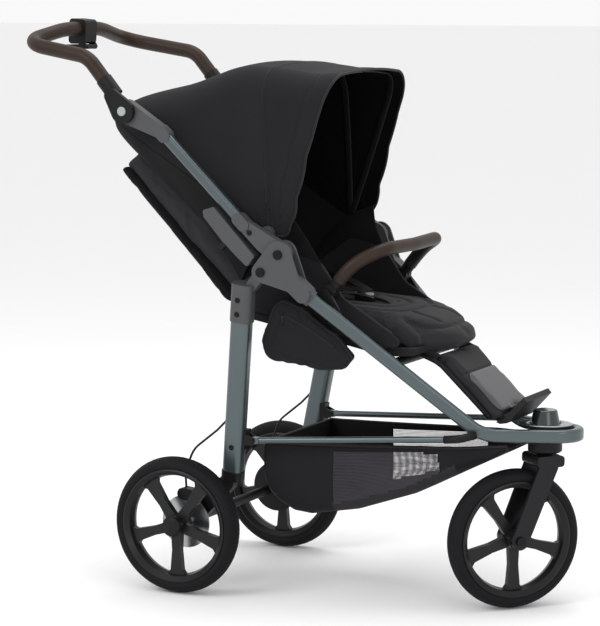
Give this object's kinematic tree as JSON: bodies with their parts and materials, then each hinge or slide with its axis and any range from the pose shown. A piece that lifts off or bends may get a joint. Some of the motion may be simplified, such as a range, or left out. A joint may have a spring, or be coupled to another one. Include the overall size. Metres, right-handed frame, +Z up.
{
  "type": "baby stroller",
  "caption": "Folding three-wheeled baby stroller with hood, padded reclining seat, bumper bar, push handle, mesh basket and swivelling front wheel.",
  "frame": {"origin": "on the floor, under the middle of the stroller's length and width", "axes": "+X the way it rolls, +Y its left side, +Z up"},
  "size_m": [1.2548, 0.568, 1.2392],
  "materials": {
    "tube_paint": "satin metallic green-grey lacquer",
    "joint_plastic": "moulded glass-filled nylon, fine grain",
    "black_plastic": "moulded black nylon",
    "light_button": "pale grey moulded button",
    "grip_leather": "dark brown stitched imitation leather",
    "fabric": "charcoal woven polyester",
    "mesh_fabric": "black coated polyester and mesh",
    "webbing": "woven nylon webbing",
    "tyre_rubber": "matt rubber",
    "rim_plastic": "moulded rim, satin",
    "bright_steel": "turned steel",
    "dark_steel": "blackened steel",
    "bearing_steel": "ground steel",
    "cable_black": "black cable sleeve",
    "fork_metal": "cast and painted light grey"
  },
  "bodies": {
    "frame": {"front_frame_tube": "tube_paint", "joint_housings": "joint_plastic", "pivot_bolts": "dark_steel", "cross_tube": "tube_paint", "head_housing": "joint_plastic", "head_bearings": "bearing_steel", "seat_base": "fabric", "seat_cushion": "fabric", "side_panels": "fabric", "buckle": "black_plastic", "bumper_sockets": "black_plastic", "canopy_rear": "fabric", "canopy_hinges": "joint_plastic", "basket": "mesh_fabric", "side_pocket": "fabric"},
    "lock_knob": {"lock_knob": "joint_plastic"},
    "push_frame": {"fold_lugs": "joint_plastic", "upper_tubes": "tube_paint", "handle_brackets": "joint_plastic"},
    "latch_grip_r": {"latch_grip_r": "joint_plastic"},
    "latch_grip_l": {"latch_grip_l": "joint_plastic"},
    "latch_trigger_r": {"latch_trigger_r": "black_plastic"},
    "latch_trigger_l": {"latch_trigger_l": "black_plastic"},
    "handle": {"handle_hubs": "black_plastic", "handle_tube": "tube_paint", "handle_grip": "grip_leather", "brake_mount": "black_plastic"},
    "handle_button_r": {"handle_button_r": "light_button"},
    "handle_button_l": {"handle_button_l": "light_button"},
    "brake_lever": {"brake_lever": "black_plastic"},
    "rear_frame": {"rear_legs": "tube_paint", "leg_caps": "joint_plastic", "leg_fittings": "black_plastic", "rear_axle": "dark_steel", "brake_calipers": "black_plastic", "brake_cables": "cable_black"},
    "basket_rails": {"basket_rails": "tube_paint"},
    "rear_wheel_r": {"rear_tyre_r": "tyre_rubber", "rear_rim_r": "rim_plastic", "rear_bearings_r": "bearing_steel", "brake_disc_r": "bright_steel"},
    "rear_wheel_l": {"rear_tyre_l": "tyre_rubber", "rear_rim_l": "rim_plastic", "rear_bearings_l": "bearing_steel", "brake_disc_l": "bright_steel"},
    "fork": {"fork": "fork_metal", "front_axle": "dark_steel"},
    "front_wheel": {"front_tyre": "tyre_rubber", "front_rim": "rim_plastic", "front_bearings": "bearing_steel"},
    "backrest": {"backrest_board": "fabric", "backrest_pad": "fabric", "shoulder_straps": "webbing"},
    "buckle_button": {"buckle_button": "light_button"},
    "footrest": {"footrest_panel": "fabric", "foot_tray": "black_plastic"},
    "bumper": {"bumper_bar": "grip_leather"},
    "bumper_button_r": {"bumper_button_r": "light_button"},
    "bumper_button_l": {"bumper_button_l": "light_button"},
    "canopy": {"canopy_front": "fabric"}
  },
  "joints": [
    {"name": "frame_fold", "type": "hinge", "parent": "frame", "child": "push_frame", "pos_m": [0.0395, 0, 0.751], "axis": [0, 1, 0], "range_deg": [0, 160]},
    {"name": "rear_leg_fold", "type": "hinge", "parent": "frame", "child": "rear_frame", "pos_m": [-0.0015, 0, 0.712], "axis": [0, -1, 0], "range_deg": [0, 36]},
    {"name": "rail_fold", "type": "hinge", "parent": "rear_frame", "child": "basket_rails", "pos_m": [-0.0555, 0, 0.338], "axis": [0, 1, 0], "range_deg": [0, 44]},
    {"name": "handle_tilt", "type": "hinge", "parent": "push_frame", "child": "handle", "pos_m": [-0.3345, 0, 1.044], "axis": [0, 1, 0], "range_deg": [-35, 35]},
    {"name": "brake_lever_turn", "type": "hinge", "parent": "handle", "child": "brake_lever", "pos_m": [-0.5735, 0, 1.176], "axis": [0, -1, 0], "range_deg": [0, 20]},
    {"name": "handle_button_press_r", "type": "slide", "parent": "handle", "child": "handle_button_r", "axis": [0, 1, 0], "range_m": [0, 0.003], "stiffness_N_per_m": 400, "springref_m": -0.002},
    {"name": "latch_slide_r", "type": "slide", "parent": "push_frame", "child": "latch_grip_r", "axis": [-0.723, 0, 0.6908], "range_m": [0, 0.01], "stiffness_N_per_m": 300, "springref_m": -0.01},
    {"name": "latch_trigger_press_r", "type": "slide", "parent": "latch_grip_r", "child": "latch_trigger_r", "axis": [0.7314, 0, 0.682], "range_m": [0, 0.005], "stiffness_N_per_m": 200, "springref_m": -0.003},
    {"name": "bumper_button_press_r", "type": "slide", "parent": "bumper", "child": "bumper_button_r", "axis": [0, -1, 0], "range_m": [0, 0.0026], "stiffness_N_per_m": 400, "springref_m": -0.002},
    {"name": "rear_wheel_spin_r", "type": "hinge", "parent": "rear_frame", "child": "rear_wheel_r", "pos_m": [-0.2075, 0, 0.15], "axis": [0, 1, 0], "continuous": true},
    {"name": "handle_button_press_l", "type": "slide", "parent": "handle", "child": "handle_button_l", "axis": [0, -1, 0], "range_m": [0, 0.003], "stiffness_N_per_m": 400, "springref_m": -0.002},
    {"name": "latch_slide_l", "type": "slide", "parent": "push_frame", "child": "latch_grip_l", "axis": [-0.723, 0, 0.6908], "range_m": [0, 0.01], "stiffness_N_per_m": 300, "springref_m": -0.01},
    {"name": "latch_trigger_press_l", "type": "slide", "parent": "latch_grip_l", "child": "latch_trigger_l", "axis": [0.7314, 0, 0.682], "range_m": [0, 0.005], "stiffness_N_per_m": 200, "springref_m": -0.003},
    {"name": "bumper_button_press_l", "type": "slide", "parent": "bumper", "child": "bumper_button_l", "axis": [0, 1, 0], "range_m": [0, 0.0026], "stiffness_N_per_m": 400, "springref_m": -0.002},
    {"name": "rear_wheel_spin_l", "type": "hinge", "parent": "rear_frame", "child": "rear_wheel_l", "pos_m": [-0.2075, 0, 0.15], "axis": [0, 1, 0], "continuous": true},
    {"name": "fork_swivel", "type": "hinge", "parent": "frame", "child": "fork", "pos_m": [0.5445, 0, 0.32], "axis": [0, 0, 1], "continuous": true},
    {"name": "front_wheel_spin", "type": "hinge", "parent": "fork", "child": "front_wheel", "pos_m": [0.49471, -0.05339, 0.15], "axis": [0.7314, -0.682, 0], "continuous": true},
    {"name": "lock_knob_turn", "type": "hinge", "parent": "frame", "child": "lock_knob", "pos_m": [0.5445, 0, 0.395], "axis": [0, 0, 1], "range_deg": [0, 90]},
    {"name": "seat_recline", "type": "hinge", "parent": "frame", "child": "backrest", "pos_m": [-0.1295, 0, 0.64], "axis": [0, 1, 0], "range_deg": [-8, 16]},
    {"name": "buckle_button_press", "type": "slide", "parent": "frame", "child": "buckle_button", "axis": [0, 0, -1], "range_m": [0, 0.0026], "stiffness_N_per_m": 400, "springref_m": -0.002},
    {"name": "footrest_tilt", "type": "hinge", "parent": "frame", "child": "footrest", "pos_m": [0.3385, 0, 0.528], "axis": [0, -1, 0], "range_deg": [0, 35]},
    {"name": "bumper_swing", "type": "hinge", "parent": "frame", "child": "bumper", "pos_m": [0.1235, 0, 0.664], "axis": [0, -1, 0], "range_deg": [-12, 40]},
    {"name": "canopy_fold", "type": "hinge", "parent": "frame", "child": "canopy", "pos_m": [-0.0075, 0, 0.79], "axis": [0, -1, 0], "range_deg": [0, 55], "deforming": ["canopy_front"]}
  ],
  "couplings": [
    {"joint": "rear_leg_fold", "follows": "frame_fold", "ratio": 0.225},
    {"joint": "rail_fold", "follows": "frame_fold", "ratio": 0.275}
  ]
}
